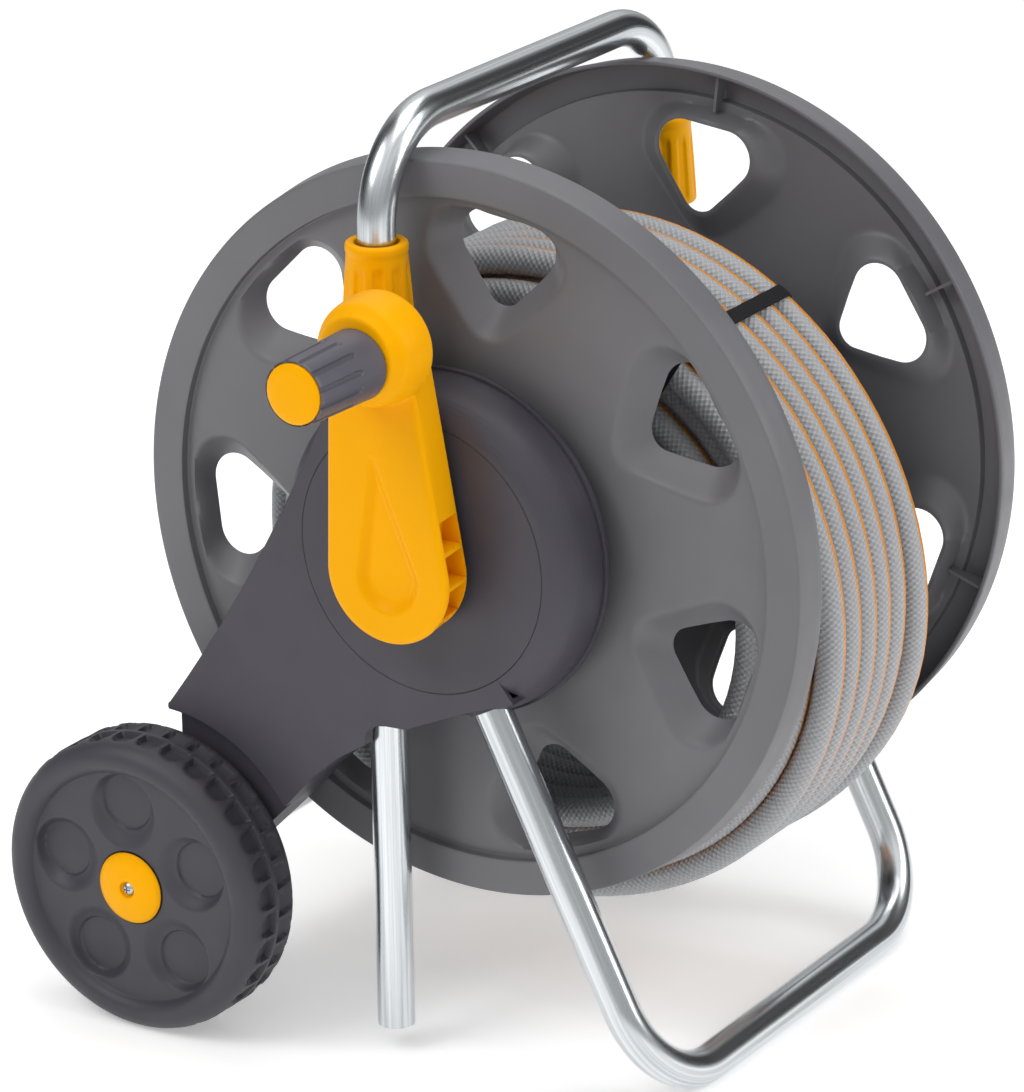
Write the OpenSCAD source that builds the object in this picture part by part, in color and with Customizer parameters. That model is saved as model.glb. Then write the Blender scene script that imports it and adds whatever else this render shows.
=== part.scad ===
// Garden hose reel cart: a crank-wound reel of hose between two side plates, on two wheels and a tube foot.
// The reel turns on a hollow water shaft along Y. The origin is under the middle of the cart, on the ground.

/* [Reel] */
// Radius of each flange at its outer face
flange_r = 217; // [210:1:222]
// How much wider each flange is at its drum side
flange_draft = 2.5; // [1:0.5:3]
// Depth of each flange, from its outer face to its drum side
flange_depth = 21; // [19:0.5:23]
// Width of the reel over both flanges
reel_w = 253.7; // [250:0.1:262]
// Width of the flat outer ring of a flange
ring_w = 21; // [19:0.5:22]
// Depth of the step from the outer ring down to the web
web_step = 5.5; // [4:0.5:7]
// Wall thickness of the flanges
flange_wall = 2.6; // [2:0.1:3]
// Number of windows in each flange
windows = 7; // [6:1:7]
// Angle of the first window, from +X towards +Z
window_angle = 83.2; // [60:0.1:100]
// Outer radius of the drum
drum_r = 76.5; // [72:0.5:77]

/* [Hose] */
// Outer diameter of the hose
hose_d = 17; // [16:0.5:17.5]
// Outer radius of the strapped bundle
bundle_r = 199; // [196:0.5:201]
// Inner radius of the strapped bundle
bundle_inner_r = 135.5; // [135:0.5:138]
// How far the bundle's centre hangs below the reel axis
bundle_drop = 58; // [56:0.5:58]
// Start of the bundle, inward from the near flange's outer face
bundle_y = 65.5; // [64:0.5:70]
// Width of the bundle along the axis
bundle_w = 116.5; // [112:0.5:118]
// Width of the straps round the bundle
strap_w = 9; // [7:0.5:12]

/* [Frame] */
// Outer diameter of the handle and foot tubes
tube_d = 22; // [21:0.5:22]
// Wall thickness of the tubes
tube_wall = 1.5; // [1:0.1:2]
// Radius of the tube bends at the tube's centre
tube_bend_r = 56; // [50:1:56]
// Height of the handle bar's centre above the reel axis
handle_top = 237; // [235:1:244]
// Length of the handle legs below the reel axis
handle_drop = 300.5; // [290:0.5:304]
// Distance of the handle plane behind the reel axis
handle_x = -36.7; // [-38:0.1:-36]
// Distance of the foot bar in front of the reel axis
foot_x = 142.4; // [138:0.1:146]
// Height of the reel axis above the ground
axis_h = 316.4; // [314:0.1:319]

/* [Side plates] */
// Distance of a side plate's outer face from the reel
plate_face = 44.7; // [44:0.1:45]
// Radius of the side plate's hub at its back
dish_r = 100; // [98:1:102]
// Radius of the round hub cover
cover_r = 79.7; // [78:0.1:80]
// Wall thickness of the side plates
plate_wall = 3; // [2.5:0.1:3.2]

/* [Wheels] */
// Outer radius of the wheels
wheel_r = 90; // [88:0.5:91]
// Width of a wheel over its tread
wheel_w = 46; // [44:0.5:46]
// Gap from the reel's outer face to a wheel's inner side
wheel_gap = 42; // [41.5:0.5:43]
// Distance of the wheel axle behind the reel axis
axle_x = -182.9; // [-186:0.1:-182]
// Diameter of the axle tube
axle_d = 22; // [21:0.5:22]

/* [Crank] */
// Distance from the reel axis to the grip axis
throw = 130; // [128:0.5:132]
// Distance of the crank's back from the reel
crank_back = 51; // [50:0.5:51.5]
// Thickness of the crank arm
crank_t = 26; // [25:0.5:27]
// Radius of the crank's lower end
crank_end_r = 37.5; // [36:0.5:39]
// Radius of the boss under the grip
boss_r = 35; // [33:0.5:36]
// Radius of the grip at the boss
grip_r = 17.5; // [16.5:0.5:18]
// Distance of the grip's outer end from the reel
grip_end = 163; // [158:0.5:166]

/* [Hidden] */
$fn = 96;

ground_z = -axis_h;
axle_z = ground_z + wheel_r;
axle_r = axle_d / 2;
tube_r = tube_d / 2;
run_gap = 0.05;     // radial gap of a running or sliding fit
free_gap = 0.3;     // gap between parts that only pass each other
far_box_y = reel_w + wheel_gap + wheel_w;
box_mid_x = (axle_x - wheel_r + flange_r + flange_draft) / 2;
box_mid_y = (far_box_y - grip_end) / 2;
reel_centre = [-box_mid_x, -box_mid_y, axis_h];

// Side plate
plate_back = 12;
shoulder_back = 15.2; // where the hub's rounded shoulder ends
inner_plate_t = 3;
cover_t = 2.6;
handle_y = -26;     // plane of a handle leg, in front of the near flange
foot_y = -27;
neck_top = 126;
neck_low = 80;
socket_low = -108;
neck_r = 15.6;
socket_r = tube_r + 2.6;
arm_line = 91;      // distance of the arm's upper corner edge from the reel axis
arm_slope = 149.2;  // direction of that edge's normal
arm_arc_r = 1050;    // the edge is hollowed by this radius
arm_arc_line = 84.9;
arm_arc_mid = 87.3;
arm_length = 200.9;
arch_r = 100;
// lower edge of the arm, from the wheel arch to the hub, rising over the handle leg
lower_edge = [[-98, -171], [-79, -149.5], [-60, -133], [-41, -121], [-40, -113], [-35, -108], [-26, -106.4],
              [-12.7, -105.8], [5.8, -97.4], [32, -86], [60, -76]];
post_r = 5;
plate_screw_r = 1.8;
plate_screw_in = 32;
collet_r = 14.4;
collet_h = 24;
collar_low = 120;
collar_high = 171.5;
collar_r = 20.5;
collar_top_r = 17.4;
flutes = 12;
plate_screw_points = [[70, 42], [72, -42], [-74, 14], [-118, -128]];
lug_r = 28;
lug_edge_x = -175;
lug_face = 38;

// Foot: the tube's legs lean from the side plates down to the foot bar
foot_z = ground_z + tube_r;
foot_in = [13.2, -46.5];  // upper end of a foot leg, inside the side plate
foot_leg = norm([foot_x - foot_in[0], foot_z - foot_in[1]]);
foot_tilt = atan2(foot_x - foot_in[0], foot_in[1] - foot_z);

// Reel
web_in = web_step + flange_wall;
ring_in_r = flange_r - ring_w;
shaft_r = 12;
shaft_bore_r = 6;
hub_boss_r = 22;
hub_boss_in = 34;
collar_wall = 3;
bush_r = 16;
crank_face = crank_back + crank_t;
shaft_near_end = crank_back + 12;
shaft_far_end = reel_w + plate_face + 9;
window_pitch = 360 / windows;
screw_circle = 67;
drum_screw_r = 2;
drum_boss_r = 7.5;
cover_hole_r = 19;
bush_flange_y = -9;
stub_y = 46;
stub_r = 7.9;
stub_bore_r = 4.5;
stub_end = 98;
seal_groove = 1.6;
inlet_flange_r = 26.5;
inlet_drop = 52;
inlet_screw_x = 21.5;
hub_boss_out = -5.5;
stub_angle = 60;
seal_y = reel_w + plate_face + 3;
spigot_r = 8.4;
spigot_bore_r = 5;

// Crank
boss_end = crank_face + 25;
arm_top_r = 23;
recess_depth = 6;
pin_r = 6;
cap_r = grip_r - 3.4;
grip_flutes = 12;
pocket_in_x = 14;
pocket_pitch = 19.5;

// Wheels
axle_end = wheel_gap + 40.8;
axle_screw_r = 2.2;
dish_face = wheel_w - 3.3;
wheel_dish_r = 70.8;
wheel_cap_r = 22;
cap_seat = 40.5;

// Hose
edge = hose_d / 3;
strap_t = 1.3;
strap_angles = [45, 165, 285];
start_angle = 200;
end_angle = 200;
connector_gap = 13.2;

// Windows: a round-cornered triangle, as [apex centre, apex radius, corner centre, corner half pitch, radius]
opening = [145.1, 12.1, 170, 14.5, 16.5];
surround = [132, 18, 165.6, 23.6, 24.4];
arc_steps = 10;

// ---- helpers ----

// Reel axis at the origin, near flange's outer face on y = 0
module at_reel() translate(reel_centre) children();

// Mirror image of a near-side part on the far side
module far_side() translate([0, reel_w, 0]) mirror([0, 1, 0]) children();

// Profile of (radius, y) points turned about the Y axis
module turned() rotate([-90, 0, 0]) rotate_extrude() children();

// Flat (x, z) outline made into a slab from y0 to y1
module slab(y0, y1) translate([0, y1, 0]) rotate([90, 0, 0]) linear_extrude(y1 - y0) children();

module disc(r, y0, y1) translate([0, y0, 0]) rotate([-90, 0, 0]) cylinder(h = y1 - y0, r = r);

module ring(r_out, r_in, y0, y1) turned() translate([r_in, y0]) square([r_out - r_in, y1 - y0]);

function arc_points(c, r, a0, a1, steps) =
    [for (i = [0:steps]) let (a = a0 + (a1 - a0) * i / steps) c + r * [cos(a), sin(a)]];

// Outline of a window; each call with the same step count gives points that match one to one
function window_points(w) =
    let (a = [w[0], 0], c = [w[2], w[3]], d = c - a,
         n = atan2(d[1], d[0]) + acos((w[1] - w[4]) / norm(d)))
    concat(arc_points(c, w[4], 0, n, arc_steps),
           arc_points(a, w[1], n, 360 - n, arc_steps),
           arc_points([w[2], -w[3]], w[4], 360 - n, 360, arc_steps));

function grown(w, by) = [w[0], w[1] + by, w[2], w[3], w[4] + by];

// Solid between window outline w0 at y0 and outline w1 at y1
module window_loft(w0, y0, w1, y1) {
    p0 = window_points(w0);
    p1 = window_points(w1);
    n = len(p0);
    points = concat([for (p = p0) [p[0], y0, p[1]]], [for (p = p1) [p[0], y1, p[1]]]);
    faces = concat([[for (i = [n - 1:-1:0]) i]], [[for (i = [0:n - 1]) n + i]],
                   [for (i = [0:n - 1]) let (j = (i + 1) % n) [i, j, n + j, n + i]]);
    polyhedron(points, faces);
}

module at_windows() for (i = [0:windows - 1]) rotate([0, -window_angle - i * window_pitch, 0]) children();

// Hollow tube along +Z
module pipe(r, wall, h) difference() {
    cylinder(h = h, r = r);
    translate([0, 0, -1]) cylinder(h = h + 2, r = r - wall);
}

// U-shaped tube: legs along Z, from z = -leg up to the bar at z = 0, the bar along Y from y0 to y1
module u_tube(leg, y0, y1) {
    b = tube_bend_r;
    for (side = [0, 1]) translate([0, side ? y1 : y0, 0]) mirror([0, side, 0]) {
        translate([0, 0, -leg]) pipe(tube_r, tube_wall, leg - b);
        translate([0, b, -b]) rotate([90, 0, -90]) rotate_extrude(angle = 90) translate([b, 0])
            difference() {
                circle(r = tube_r);
                circle(r = tube_r - tube_wall);
            }
    }
    translate([0, y0 + b, 0]) rotate([-90, 0, 0]) pipe(tube_r, tube_wall, y1 - y0 - 2 * b);
}

// Screw with a domed cross head, its tip along +Z and its head at z = 0
module screw(r, length, head_r, head_h) {
    cylinder(h = length, r = r);
    difference() {
        rotate_extrude() intersection() {
            translate([0, -head_h]) square([head_r, head_h]);
            translate([0, 1.2 * head_r - head_h]) circle(r = 1.2 * head_r);
        }
        for (a = [0, 90]) rotate(a) translate([-head_r / 2, -head_r / 10, -head_h - 1])
            cube([head_r, head_r / 5, 1.6 + head_h / 2]);
    }
}

// ---- side plates ----

// Outline of the arm that runs from the hub down to the wheel arch, moved inwards by inset
module arm_outline(inset = 0) {
    n = [cos(arm_slope), sin(arm_slope)];
    t = [-n[1], n[0]];
    corner = (arm_line - inset) * n + arm_length * t;
    arc_centre = (arm_arc_line + arm_arc_r) * n + arm_arc_mid * t;
    difference() {
        polygon(concat([[0, 0]],
                       arc_points(arc_centre, arm_arc_r + inset, arm_slope + 186.5, arm_slope + 174.1, 10),
                       arc_points(corner - 4 * (n + t), 4, arm_slope, arm_slope + 90, 6),
                       [[axle_x + 30, axle_z + 20]], [for (p = lower_edge) p + inset * [-0.5, 0.87]]));
        translate([axle_x, axle_z]) circle(r = arch_r + inset);
    }
}

// Outline of the lug behind the wheel, which carries the axle
module lug_outline(inset = 0) {
    polygon([[lug_edge_x + inset, -126], [lug_edge_x + inset, axle_z],
             [axle_x + 0.5 * lug_r - inset, axle_z - 0.6 * lug_r], [-98 - inset, -171 + inset], [-90, -120]]);
    translate([axle_x, axle_z]) circle(r = lug_r - inset);
}

function shoulder(r0, r1, y0, y1) =
    [for (i = [0:12]) let (a = 90 * i / 12) [r0 + (r1 - r0) * sin(a), y1 + (y0 - y1) * cos(a)]];

module side_plate() color("#45434b") {
    w = plate_wall;
    back = -plate_back;
    difference() {
        union() {
            difference() {
                union() {
                    turned() polygon(concat([[0, -plate_face]],
                                            shoulder(cover_r + 1, dish_r, -plate_face, -shoulder_back),
                                            [[dish_r, back], [0, back]]));
                    slab(-plate_face, back) arm_outline();
                    slab(-lug_face, back) lug_outline();
                }
                turned() polygon(concat([[0, w - plate_face]],
                                        shoulder(cover_r - 1, dish_r - w, w - plate_face,
                                                 -shoulder_back + 1.8),
                                        [[dish_r - w, back + 1], [0, back + 1]]));
                slab(w - plate_face, back + 1) arm_outline(w);
                slab(w - lug_face, back + 1) lug_outline(w);
            }
            // seat behind the hub cover, and the housing of the shaft bush
            disc(cover_r + w, -plate_face + cover_t, -plate_face + cover_t + w);
            disc(bush_r + 4, -plate_face + cover_t, back);
            // posts for the screws that hold the inner plate
            for (p = plate_screw_points) translate([p[0], 0, p[1]]) disc(post_r, w - plate_face, back);
            // sockets for the handle leg, the foot leg and the axle
            translate([handle_x, handle_y, socket_low]) cylinder(h = neck_top - socket_low, r = socket_r);
            translate([handle_x, handle_y, neck_low]) cylinder(h = neck_top - neck_low, r = neck_r);
            translate([foot_in[0], foot_y, foot_in[1]]) rotate([0, 180 - foot_tilt, 0])
                translate([0, 0, -w]) cylinder(h = 50, r = socket_r);
            translate([axle_x, 0, axle_z]) disc(axle_r + 4, -lug_face, back);
        }
        disc(cover_r + free_gap, -plate_face - 1, -plate_face + cover_t);
        disc(bush_r, -plate_face, back + 1);
        translate([handle_x, handle_y, -150]) cylinder(h = 300, r = tube_r + free_gap);
        translate([foot_in[0], foot_y, foot_in[1]]) rotate([0, 180 - foot_tilt, 0])
            cylinder(h = 100, r = tube_r);
        translate([axle_x, 0, axle_z]) disc(axle_r, -lug_face - 1, back + 1);
        for (p = plate_screw_points) translate([p[0], 0, p[1]])
            disc(plate_screw_r, -plate_screw_in, back + 1);
    }
}

module near_side_plate() at_reel() side_plate();
module far_side_plate() at_reel() far_side() side_plate();

module inner_plate() color("#3c3a41") difference() {
    slab(-plate_back, -plate_back + inner_plate_t) union() {
        circle(r = dish_r + 2);
        arm_outline();
        lug_outline();
    }
    disc(bush_r, -plate_face, 0);
    translate([handle_x, handle_y, neck_low - 20]) cylinder(h = 100, r = neck_r + free_gap);
    translate([axle_x, 0, axle_z]) disc(axle_r, -plate_face, 0);
    for (p = plate_screw_points) translate([p[0], 0, p[1]]) disc(plate_screw_r + free_gap, -plate_face, 0);
}

module near_inner_plate() at_reel() inner_plate();
module far_inner_plate() at_reel() far_side() inner_plate();

module hub_cover(hole_r) color("#45434b") ring(cover_r, hole_r, -plate_face, -plate_face + cover_t);

module near_hub_cover() at_reel() hub_cover(cover_hole_r);
module far_hub_cover() at_reel() far_side() hub_cover(inlet_flange_r + free_gap);

// Flanged sleeve that the water shaft turns in
module bush() color("#d8d6cf") {
    ring(bush_r, shaft_r + run_gap, -plate_face + cover_t + 0.2, bush_flange_y);
    ring(bush_r + 3, shaft_r + run_gap, bush_flange_y, bush_flange_y + 3);
}

module near_bush() at_reel() bush();
module far_bush() at_reel() far_side() bush();

module plate_screws_side() for (p = plate_screw_points)
    translate([p[0], -plate_back + inner_plate_t, p[1]]) rotate([90, 0, 0])
        screw(plate_screw_r, plate_screw_in - plate_back, 4, 2.4);

module plate_screws() color("#b9bcc0") at_reel() {
    plate_screws_side();
    far_side() plate_screws_side();
}

// ---- tubes ----

module foot_tube() color("#b4b9bd") at_reel() translate([foot_x, 0, foot_z]) rotate([0, 180 - foot_tilt, 0])
    u_tube(foot_leg, foot_y, reel_w - foot_y);

module handle_tube() color("#b4b9bd") at_reel() translate([handle_x, 0, handle_top])
    u_tube(handle_top + handle_drop, handle_y, reel_w - handle_y);

// Plastic plugs inside the open lower ends of the handle
module handle_end_plugs() color("#2d2c31") at_reel() for (y = [handle_y, reel_w - handle_y])
    translate([handle_x, y, -handle_drop + 0.6]) cylinder(h = 14, r = tube_r - tube_wall);

module axle_tube() color("#b4b9bd") at_reel() translate([axle_x, 0, axle_z])
    ring(axle_r, axle_r - tube_wall, -axle_end, reel_w + axle_end);

module axle_plug() translate([axle_x, 0, axle_z])
    ring(axle_r - tube_wall, axle_screw_r, -axle_end, -axle_end + 20);

module axle_plugs() color("#2d2c31") at_reel() {
    axle_plug();
    far_side() axle_plug();
}

// Split sleeve above a side plate's neck; the collar squeezes it onto the handle leg
module collet() translate([handle_x, handle_y, neck_top + free_gap]) difference() {
    cylinder(h = collet_h, r = collet_r);
    translate([0, 0, -1]) cylinder(h = collet_h + 2, r = tube_r + run_gap);
    for (a = [0, 90]) rotate(a) translate([-collet_r - 1, -0.8, 5]) cube([2 * collet_r + 2, 1.6, collet_h]);
}

module collets() color("#2d2c31") at_reel() {
    collet();
    far_side() collet();
}

// Twist-lock collar with shallow grip flutes
module collar() color("#f6a800") translate([handle_x, handle_y, 0]) difference() {
    rotate_extrude() polygon([[10, collar_low], [collar_r - 1, collar_low], [collar_r, collar_low + 1],
                              [collar_r - 0.5, collar_low + 18], [collar_top_r + 0.6, collar_high - 2],
                              [collar_top_r - 0.8, collar_high], [10, collar_high]]);
    translate([0, 0, collar_low - 1]) cylinder(h = neck_top + 0.2 - collar_low + 1, r = neck_r + free_gap);
    translate([0, 0, neck_top]) cylinder(h = collet_h + 1, r = collet_r + free_gap);
    translate([0, 0, neck_top]) cylinder(h = 100, r = tube_r + 0.8);
    for (i = [0:flutes - 1]) rotate((i + 0.5) * 360 / flutes) translate([collar_r + 2.6, 0, collar_low + 4])
        cylinder(h = collar_high - collar_low - 14, r = 4, $fn = 12);
}

module near_collar() at_reel() collar();
module far_collar() at_reel() far_side() collar();

// ---- reel ----

module at_drum_screws() for (i = [0:2]) rotate([0, -30 - i * 120, 0])
    translate([screw_circle, 0, 0]) children();

function window_at(y) = surround + (opening - surround) * (y - web_step) / (flange_depth - web_step);

module flange() color("#6d6e73") difference() {
    union() {
        turned() polygon([[0, web_step], [ring_in_r, web_step], [ring_in_r, 0], [flange_r, 0],
                          [flange_r + flange_draft, flange_depth],
                          [flange_r + flange_draft - flange_wall, flange_depth],
                          [flange_r - flange_wall, flange_wall], [ring_in_r + flange_wall, flange_wall],
                          [ring_in_r + flange_wall, web_in], [0, web_in]]);
        at_windows() {
            window_loft(grown(window_at(web_step + 0.5), flange_wall), web_step + 0.5,
                        grown(window_at(flange_depth), flange_wall), flange_depth);
            linear_extrude(flange_wall, center = true)
                polygon([[ring_in_r - 2, web_step + 1], [flange_r - 1, 1.5],
                         [flange_r + 1, 15], [ring_in_r - 2, 15]]);
        }
        disc(hub_boss_r, hub_boss_out, hub_boss_in);
    }
    at_windows()
        window_loft(window_at(web_step - 1), web_step - 1, window_at(flange_depth + 1), flange_depth + 1);
    disc(shaft_r, -20, 60);
    at_drum_screws() disc(drum_screw_r + free_gap, 0, 20);
}

module near_flange() at_reel() flange();
module far_flange() at_reel() far_side() flange();

module drum() color("#55555b") at_reel() difference() {
    union() {
        ring(drum_r, drum_r - 3, web_in, reel_w - web_in);
        at_drum_screws() {
            disc(drum_boss_r, web_in + 0.5, web_in + 22);
            disc(drum_boss_r, reel_w - web_in - 22, reel_w - web_in - 0.5);
        }
    }
    at_drum_screws() disc(drum_screw_r, 0, reel_w);
    rotate([0, -stub_angle, 0]) translate([0, stub_y, 0]) rotate([0, 90, 0])
        cylinder(h = 100, r = stub_r + 1);
}

module drum_screws_side() at_drum_screws() translate([0, web_step, 0]) rotate([-90, 0, 0])
    screw(drum_screw_r, 20, 4.5, 2.6);

module drum_screws() color("#b9bcc0") at_reel() {
    drum_screws_side();
    far_side() drum_screws_side();
}

// Hollow shaft: water enters at its far end and leaves through the stub inside the drum
module water_shaft() color("#2d2c31") at_reel() difference() {
    disc(shaft_r, -shaft_near_end, shaft_far_end);
    disc(shaft_bore_r, stub_y - shaft_bore_r, shaft_far_end + 1);
    rotate([0, -stub_angle, 0]) translate([0, stub_y, 0]) rotate([0, 90, 0]) cylinder(h = 40, r = stub_r);
    difference() {
        disc(shaft_r + 1, seal_y, seal_y + 2.6);
        disc(shaft_r - seal_groove, seal_y - 1, seal_y + 4);
    }
}

module seal_ring(r) rotate([-90, 0, 0]) rotate_extrude() translate([r, 0]) circle(r = 0.9, $fn = 24);

module shaft_seal() color("#1b1b1d") at_reel() translate([0, seal_y + 1.3, 0])
    seal_ring(shaft_r - seal_groove + 0.9);

// Spigot that the inner end of the hose plugs onto
module outlet_stub() color("#f6a800") at_reel() rotate([0, -stub_angle, 0]) translate([0, stub_y, 0])
    rotate([0, 90, 0]) difference() {
        union() {
            translate([0, 0, shaft_bore_r + 1]) cylinder(h = stub_end - shaft_bore_r - 1, r = stub_r);
            translate([0, 0, drum_r + 0.5]) cylinder(h = 3, r = stub_r + 2.5);
        }
        translate([0, 0, -1]) cylinder(h = 120, r = stub_bore_r);
        translate([0, 0, stub_end - 7]) difference() {
            cylinder(h = 2.6, r = stub_r + 1);
            translate([0, 0, -1]) cylinder(h = 5, r = stub_r - seal_groove);
        }
    }

module outlet_seal() color("#1b1b1d") at_reel() rotate([0, -stub_angle, 0])
    translate([stub_end - 5.7, stub_y, 0]) rotate([0, 0, -90]) seal_ring(stub_r - seal_groove + 0.9);

// ---- water inlet on the far side ----

module inlet_elbow() color("#f6a800") at_reel()
        translate([0, reel_w + plate_face - cover_t + 0.1, 0]) difference() {
    union() {
        disc(inlet_flange_r, 0, 4);
        disc(16, 0, 34);
        translate([0, 23, -inlet_drop]) cylinder(h = inlet_drop, r = spigot_r);
        translate([0, 23, -24]) cylinder(h = 8, r = spigot_r + 3);
    }
    disc(shaft_r + run_gap, -1, 12.5);
    disc(shaft_bore_r, 10, 23);
    translate([0, 23, -inlet_drop - 1]) cylinder(h = inlet_drop + 1, r = spigot_bore_r);
    for (x = [-inlet_screw_x, inlet_screw_x]) translate([x, 0, 0]) disc(1.8 + free_gap, -1, 5);
}

module inlet_screws() color("#b9bcc0") at_reel() for (x = [-inlet_screw_x, inlet_screw_x])
    translate([x, reel_w + plate_face - cover_t + 4.1, 0]) rotate([90, 0, 0]) screw(1.8, 10, 3.4, 2);

// ---- crank ----

module crank_arm() color("#f6a800") at_reel() difference() {
    union() {
        slab(-crank_face, -crank_back) hull() {
            translate([0, -3]) circle(r = crank_end_r, $fn = 48);
            translate([-9, throw - 12]) circle(r = arm_top_r, $fn = 32);
        }
        translate([0, 0, throw]) turned() polygon([
            [0, -boss_end], [grip_r + 4, -boss_end], [grip_r + 8, -boss_end + 3],
            [boss_r - 5, -crank_face - 11], [boss_r - 1, -crank_face - 7], [boss_r, -crank_face - 3],
            [boss_r - 1, -crank_face + 4], [boss_r - 12, -crank_back - 6], [0, -crank_back - 6]]);
    }
    slab(-crank_face - 1, -crank_face + recess_depth) hull() {
        translate([0, -3]) circle(r = 20, $fn = 48);
        translate([0, 50]) circle(r = 4, $fn = 16);
    }
    disc(shaft_r, -shaft_near_end, 0);
    translate([0, 0, throw]) disc(pin_r, -boss_end - 1, -crank_back - 6);
    for (i = [0:3]) translate([pocket_in_x, -crank_face + recess_depth + 2, 18 - i * pocket_pitch])
        cube([60, crank_t - recess_depth - 5, pocket_pitch - 2.6]);
}

// Spindle that the grip spins on
module grip_pin() color("#f6a800") at_reel() translate([0, 0, throw])
    disc(pin_r, -grip_end + 2, -crank_back - 6);

module crank_grip() color("#504e57") at_reel() translate([0, 0, throw]) difference() {
    turned() polygon([[0, -grip_end + 1.5], [grip_r - 3, -grip_end + 1.5], [grip_r - 2, -grip_end + 2.5],
                      [grip_r, -boss_end - 1], [grip_r - 0.7, -boss_end - free_gap],
                      [0, -boss_end - free_gap]]);
    disc(pin_r + run_gap, -grip_end, -boss_end);
    disc(cap_r + free_gap, -grip_end, -grip_end + 4);
    for (i = [0:grip_flutes - 1]) rotate([0, (i + 0.5) * 360 / grip_flutes, 0])
        translate([grip_r + 0.4, -grip_end, 0]) rotate([-90, 15, 0]) cylinder(h = 42, r = 1.7, $fn = 12);
}

module grip_cap() color("#f6a800") at_reel() translate([0, 0, throw]) difference() {
    turned() polygon([[0, -grip_end], [cap_r - 4, -grip_end + 0.3], [cap_r, -grip_end + 1.6],
                      [cap_r, -grip_end + 3.7], [0, -grip_end + 3.7]]);
    disc(pin_r, -grip_end + 2, -boss_end);
}

// ---- wheels ----

module wheel() color("#45434b") translate([axle_x, -wheel_gap, axle_z]) difference() {
    union() {
        difference() {
            turned() polygon(concat([[0, -dish_face], [wheel_dish_r, -dish_face],
                                     [wheel_dish_r + 2, -wheel_w]],
                                    arc_points([wheel_r - 12, -wheel_w + 12], 12, -90, 0, 8),
                                    arc_points([wheel_r - 8, -8], 8, 0, 90, 8), [[0, 0]]));
            ring(wheel_r - 6, axle_r + 5, -dish_face + 9, 1);
        }
        for (i = [0:9]) rotate([0, -i * 36, 0]) translate([axle_r + 4, -dish_face + 8, -1.2])
            cube([wheel_r - axle_r - 8, dish_face - 10, 2.4]);
    }
    disc(axle_r + run_gap, -wheel_w, 1);
    disc(wheel_cap_r + 0.5, -wheel_w - 1, -cap_seat);
    for (i = [0:4]) rotate([0, -20 - i * 72, 0]) translate([48, 0, 0]) disc(20, -wheel_w, -dish_face + 5);
}

module near_wheel() at_reel() wheel();
module far_wheel() at_reel() far_side() wheel();

// Domed cap screwed to the end of the axle, which keeps the wheel on
module wheel_cap() translate([axle_x, -axle_end, axle_z]) difference() {
    turned() polygon([[0, 0], [wheel_cap_r - 0.5, 0], [wheel_cap_r, -1.4], [18, -3.2],
                      [12, -4.5], [6, -5.2], [0, -5.4]]);
    disc(axle_screw_r, -9, 1);
    disc(5, -9, -3);
}

module wheel_caps() color("#f6a800") at_reel() {
    wheel_cap();
    far_side() wheel_cap();
}

module wheel_screw() translate([axle_x, -axle_end - 3, axle_z]) rotate([-90, 0, 0])
    screw(axle_screw_r, 20, 4.4, 2.2);

module wheel_screws() color("#cfd2d5") at_reel() {
    wheel_screw();
    far_side() wheel_screw();
}

// ---- hose ----

// Outer shape of the strapped bundle, which hangs from the drum
module hose_bundle() color("#c9c9c6") at_reel() translate([0, 0, -bundle_drop]) turned() polygon([
    [bundle_inner_r, bundle_y + edge], [bundle_inner_r + edge, bundle_y], [bundle_r - edge, bundle_y],
    [bundle_r, bundle_y + edge], [bundle_r, bundle_y + bundle_w - edge],
    [bundle_r - edge, bundle_y + bundle_w], [bundle_inner_r + edge, bundle_y + bundle_w],
    [bundle_inner_r, bundle_y + bundle_w - edge]]);

// Woven straps round the bundle
module hose_straps() color("#1d1d1f") at_reel() translate([0, 0, -bundle_drop]) for (a = strap_angles) {
    half = strap_w / bundle_r * 90 / PI;
    rotate([0, -a - half, 0]) rotate([-90, 0, 0]) rotate_extrude(angle = 2 * half) difference() {
        translate([bundle_inner_r - strap_t, bundle_y - strap_t])
            square([bundle_r - bundle_inner_r + 2 * strap_t, bundle_w + 2 * strap_t]);
        translate([bundle_inner_r - 0.3, bundle_y - 0.3])
            square([bundle_r - bundle_inner_r + 0.6, bundle_w + 0.6]);
    }
}

// Quick connector on a hose end, its axis along +Z with the hose entering at z = 0
module connector() color("#f6a800") difference() {
    rotate_extrude() polygon([[0, 0], [10.4, 0], [11.4, 2], [11.4, 16], [12.6, 19],
                              [12.6, 34], [11.6, 40], [0, 40]]);
    translate([0, 0, 18]) cylinder(h = 30, r = stub_r + 0.6);
    translate([0, 0, -1]) cylinder(h = 40, r = stub_bore_r);
}

// Both ends of the hose lie beside the bundle, on the side away from the crank
module at_bundle_side(a, r) at_reel()
    translate([0, bundle_y + bundle_w + connector_gap, -bundle_drop])
    rotate([0, -a, 0]) translate([r, 0, 0]) children();

module hose_start_connector() at_bundle_side(start_angle, bundle_inner_r + 12) connector();

module hose_end_connector() at_bundle_side(end_angle, bundle_r - 14) rotate([180, 0, 0]) connector();

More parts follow.
